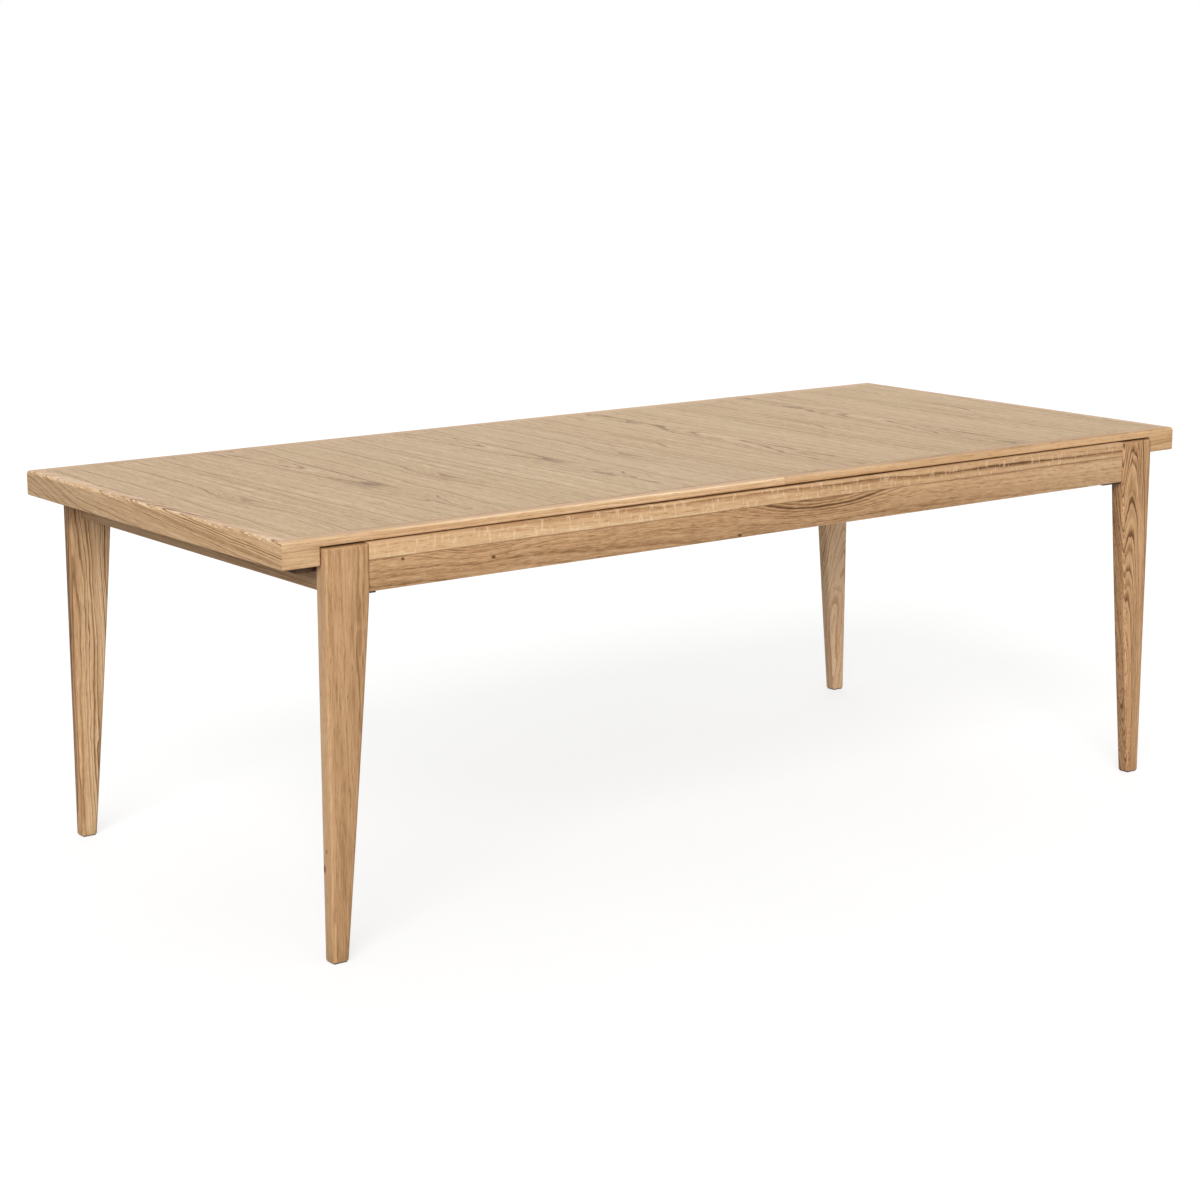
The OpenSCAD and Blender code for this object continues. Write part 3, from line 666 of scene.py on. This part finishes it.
def lowerOuterEdge(a, b):
    # the long edge at the bottom of the outer face, both under the deep edge and under the lip
    outside = (min(abs(a.y), abs(b.y)) > halfWidth - 0.1 * mm
               or min(abs(a.x), abs(b.x)) > halfLength - 0.1 * mm)
    level = abs(a.z - b.z) < 0.1 * mm and a.z < lipZ + 0.1 * mm
    return outside and level and (a - b).length > 10 * mm


def paintedArrisHighlight(at, shade=0.26):
    # painted highlight: the arris is made paler than the faces beside it, like a rounded arris catching the
    # light
    return {"at": at, "size": (6, 6, 4000), "shade": shade}


def paintedTopShade(at):
    # painted shade: the upper face is made a little darker than the front
    return {"at": at, "size": (12, 34, 9000), "shade": -0.20}


lippingLooks = {
    "left_end_lipping": {"grain": "Y", "pith": (-1010, 475, 560), "lean": (3.5, 0.0, 1.5), "ring": 3.2,
                         "seed": 21.0, "level": 0.78, "lines": 0.85, "bands": 0.55, "band": 8, "clouds": 0.3,
                         "streaks": 0.4, "fibres": 0.7, "fibreSize": (2.4, 2.4, 50), "wander": 6,
                         # the pale flecks are kept to the rounded top outer arris: painted glints where the
                         # arris catches the light
                         "flecks": 0.8, "fleckSide": (-0.7071, 0, 0.7071, 1301.6),
                         "fleckColour": "#f3dfc3", "raySize": (2.4, 2.4, 10),
                         "swirls": [{"at": (-1100, 475, 720), "size": (300, 300, 240), "push": -40},
                                    {"at": (-1088, -60, 746), "size": (7, 9, 620), "shade": -0.22},
                                    # painted highlight along the top outer arris
                                    {"at": (-1099, 0, 743), "size": (6, 6, 4000), "shade": 0.26}]},
    "right_end_lipping": {"grain": "Y", "pith": (1010, 0, 600), "lean": (-2.0, 0.0, 1.0), "ring": 4.4,
                          "seed": 23.0, "level": 0.60, "lines": 0.35, "clouds": 0.4, "wander": 12},
    # both front lippings carry a painted highlight along the top arris and painted shade on the top face
    "left_front_lipping": {"grain": "X", "pith": (0, -560, 560), "ring": 3.8, "seed": 25.0, "level": 0.72,
                           "lines": 0.42, "band": 8, "clouds": 0.35, "wander": 7,
                           "swirls": [paintedArrisHighlight((0, -474, 744), 0.30), paintedTopShade((0, -450, 748))]},
    "right_front_lipping": {"grain": "X", "pith": (0, -420, 600), "ring": 3.8, "seed": 27.0, "level": 0.56,
                            "lines": 0.34, "bands": 0.6, "clouds": 0.4, "wander": 9,
                            "swirls": [paintedArrisHighlight((0, -474, 744), 0.10), paintedTopShade((0, -450, 748))]},
    "left_back_lipping": {"grain": "X", "pith": (0, 560, 600), "ring": 4.0, "seed": 29.0, "level": 0.60,
                          "lines": 0.32, "bands": 0.6, "clouds": 0.4, "wander": 9},
    "right_back_lipping": {"grain": "X", "pith": (0, 420, 560), "ring": 4.2, "seed": 31.0, "level": 0.60,
                           "lines": 0.32, "bands": 0.6, "clouds": 0.4, "wander": 9},
}
for nodeName, look in lippingLooks.items():
    material = oiledOak("oiled oak " + nodeName.replace("_", " "), {**look, "tint": "lipping"})
    easedPart(nodeName, 0.3, material, 1, 2.0, lowerOuterEdge)
print("top made")

# aprons; a long one is glued up from two boards, and its joint is this many millimetres above the floor

longApron = {
    "upper": {"grain": "X", "pith": (0, -600, 900), "lean": (0, 0.5, 0.2), "ring": 9, "seed": 41.0,
              "level": 0.60, "lines": 0.50, "bands": 0.5, "band": 22, "wander": 13, "bend": (120, 120, 620),
              "clouds": 0.4, "streaks": 0.35, "fibres": 0.7, "fibreSize": (2.6, 2.6, 40),
              "flecks": 0.36, "raySize": (17, 90, 4.6),
              "swirls": [{"at": (620, -483, 716), "size": (10, 90, 460), "shade": -0.08, "crisp": 0.5}]},
    "lower": {"grain": "X", "pith": (60, -380, 600), "lean": (0, 0.5, 1.0), "ring": 7.0, "seed": 43.0,
              "level": 0.47, "lines": 0.22, "sparse": 0.1, "bands": 0.30, "band": 9, "wander": 8,
              "clouds": 0.4, "streaks": 0.35, "fibres": 0.9, "fibreSize": (2.4, 2.4, 26), "pores": 1.0,
              "swirls": [{"at": (90, -483, 704), "size": (66, 90, 310),
                          "push": 44, "shade": -0.04, "crisp": 1.2},
                         {"at": (-700, -483, 706), "size": (50, 90, 180),
                          "push": 30, "shade": -0.03, "crisp": 0.8},
                         {"at": (600, -483, 700), "size": (9, 60, 430), "shade": -0.20, "crisp": 0.4},
                         {"at": (900, -483, 650), "size": (90, 90, 520), "shade": 0.22},
                         {"at": (-680, -483, 673), "size": (4, 9, 7), "push": 4, "shade": -1.0},
                         {"at": (-118, -483, 648), "size": (4, 9, 7), "push": 4, "shade": -1.0},
                         {"at": (-868, -483, 692), "size": (4, 9, 6), "push": 3, "shade": -0.8}]},
    "joint": 698,
}
for nodeName, turned in (("front_apron", 1), ("back_apron", -1)):
    looks = [dict(longApron[key]) for key in ("upper", "lower")]
    for look in looks:
        look["pith"] = (look["pith"][0], turned * look["pith"][1], look["pith"][2])
        look["swirls"] = [{**swirl, "at": [a * b for a, b in zip(swirl["at"], (turned, turned, 1))]}
                          for swirl in look["swirls"]]
        look["seed"] += 0 if turned > 0 else 60
    material = gluedOak("oiled oak " + nodeName.replace("_", " "), *looks, longApron["joint"])
    easedPart(nodeName, 0.9, material, 2)
endApronLook = {"grain": "Y", "pith": (-1100, 0, 500), "lean": (0.8, 0, 0.5), "ring": 4.5, "seed": 51.0,
                "level": 0.55, "lines": 0.35, "wander": 10}
for nodeName in ("left_end_apron", "right_end_apron"):
    material = oiledOak("oiled oak " + nodeName.replace("_", " "), endApronLook)
    easedPart(nodeName, 1.2, material)

# stored leaves

leafLooks = {
    "veneer": {"grain": "Y", "pith": (0, 0, 620), "lean": (2.0, 0, 0), "ring": 4.2, "seed": 61.0,
               "tint": "veneer", "level": 0.6, "lines": 0.26, "wander": 13, "clouds": 0.34,
               "roughness": 0.50},
    "lipping": {"grain": "Y", "pith": (0, 0, 560), "ring": 4.0, "seed": 63.0, "level": 0.6, "wander": 9},
}
leafVeneer = oiledOak("oak veneer leaf", leafLooks["veneer"])
leafLipping = oiledOak("oiled oak leaf lipping", leafLooks["lipping"])
for level in ("lower", "upper"):
    easedPart(level + "_leaf_panel", 0.25, leafVeneer, 1)
    easedPart(level + "_leaf_lippings", 0.8, leafLipping)

# inner woodwork, in beech

beechParts = {
    "front_guide": "X", "back_guide": "X", "left_bearer": "Y", "centre_bearer": "Y", "right_bearer": "Y",
    "leaf_fences": "Y", "corner_blocks": "X", "left_end_rail": "Y", "right_end_rail": "Y",
    "left_seam_batten": "Y", "right_seam_batten": "Y",
    "left_middle_batten": "Y", "right_middle_batten": "Y",
    "left_front_runner": "X", "left_back_runner": "X", "right_front_runner": "X", "right_back_runner": "X",
    "left_runner_stops": "X", "right_runner_stops": "X",
}
# the runners get the dark brown beech, painted shade where their ends show through the notches in the end
# aprons
for nodeName, axis in beechParts.items():
    easedPart(nodeName, 0.8, darkShadeBeech if "runner" in nodeName else beechAlong[axis])
for nodeName, axis in (("alignment_dowels", "X"), ("lower_leaf_dowels", "Y"), ("upper_leaf_dowels", "Y")):
    easedPart(nodeName, 1.0, beechAlong[axis])
print("woodwork made")

# fittings

for nodeName in ("leg_bolts", "bolt_washers", "bolt_nuts"):
    easedPart(nodeName, 0.3, zincSteel, 1)
for nodeName in ("guide_screws", "plate_screws", "left_runner_screws", "right_runner_screws"):
    easedPart(nodeName, 0.1, zincSteel, 1)
for nodeName in ("latch_plates", "latch_pivots", "keeper_plates", "keeper_pins",
                 "front_latch", "back_latch"):
    easedPart(nodeName, 0.3, yellowSteel, 2)
easedPart("corner_plates", 0.3, blackSteel, 2)
easedPart("leaf_pads", 0.4, greyFelt)
easedPart("glides", 0.3, greyFelt, 1)
print("fittings made")


# floor and light

stage = {"floorGlow": 0.68, "horizon": 0.36, "zenith": 0.62}

bpy.ops.mesh.primitive_plane_add(size=40, location=(0, 0, 0))
floor = bpy.context.object
floor.name = "studio_floor"
floorPaint, tree, shader = newMaterial("white studio floor", {"Roughness": 0.9, "Specular IOR Level": 0.1,
                                                               "Emission Color": linear("#ffffff")})
where = addNode(tree, "ShaderNodeTexCoord")
mottle = addNode(tree, "ShaderNodeTexNoise", values={"Scale": 1.5, "Detail": 2.0},
                 links={"Vector": where.outputs["Object"]})
pale = setRamp(addNode(tree, "ShaderNodeValToRGB", links={"Fac": mottle.outputs["Fac"]}),
               [(0.3, "#9e9e9d"), (0.7, "#a2a2a1")])
tree.links.new(pale.outputs["Color"], shader.inputs["Base Color"])
# the floor glows only for the eye, so that it looks white and doesn't light the table from below
seen = addNode(tree, "ShaderNodeLightPath")
glow = addNode(tree, "ShaderNodeMath", {"operation": "MULTIPLY"}, {1: stage["floorGlow"]},
               {0: seen.outputs["Is Camera Ray"]})
tree.links.new(glow.outputs[0], shader.inputs["Emission Strength"])
floor.data.materials.append(floorPaint)

studioLights = [
    {"name": "key", "from": (-0.60, -0.60, 0.48), "power": 2.5, "spread": 35},
    {"name": "low front", "from": (-0.15, -0.98, 0.13), "power": 0.95, "spread": 30},
    {"name": "fill", "from": (0.50, 0.70, 0.50), "power": 0.6, "spread": 60},
]
for light in studioLights:
    bpy.ops.object.light_add(type="SUN", location=Vector(light["from"]) * 6)
    lamp = bpy.context.object
    lamp.name = light["name"]
    lamp.data.angle = math.radians(light["spread"])
    lamp.data.energy = light["power"]
    lamp.rotation_euler = (-Vector(light["from"])).to_track_quat("-Z", "Y").to_euler()

# a dome that is brighter overhead; the eye sees plain white behind the table
world = bpy.data.worlds.new("studio")
bpy.context.scene.world = world
world.use_nodes = True
tree = world.node_tree
where = addNode(tree, "ShaderNodeTexCoord")
height = addNode(tree, "ShaderNodeSeparateXYZ", links={"Vector": where.outputs["Generated"]})
dome = addNode(tree, "ShaderNodeMapRange", values={"To Min": stage["horizon"], "To Max": stage["zenith"]},
               links={"Value": height.outputs["Z"]})
seen = addNode(tree, "ShaderNodeLightPath")
strength = addNode(tree, "ShaderNodeMix", {"data_type": "FLOAT"}, {"B": 1.0},
                   {"Factor": seen.outputs["Is Camera Ray"], "A": dome.outputs[0]})
backdrop = tree.nodes["Background"]
backdrop.inputs["Color"].default_value = linear("#ffffff")
tree.links.new(strength.outputs["Result"], backdrop.inputs["Strength"])
bpy.context.scene.view_settings.view_transform = "Standard"
print("stage made")
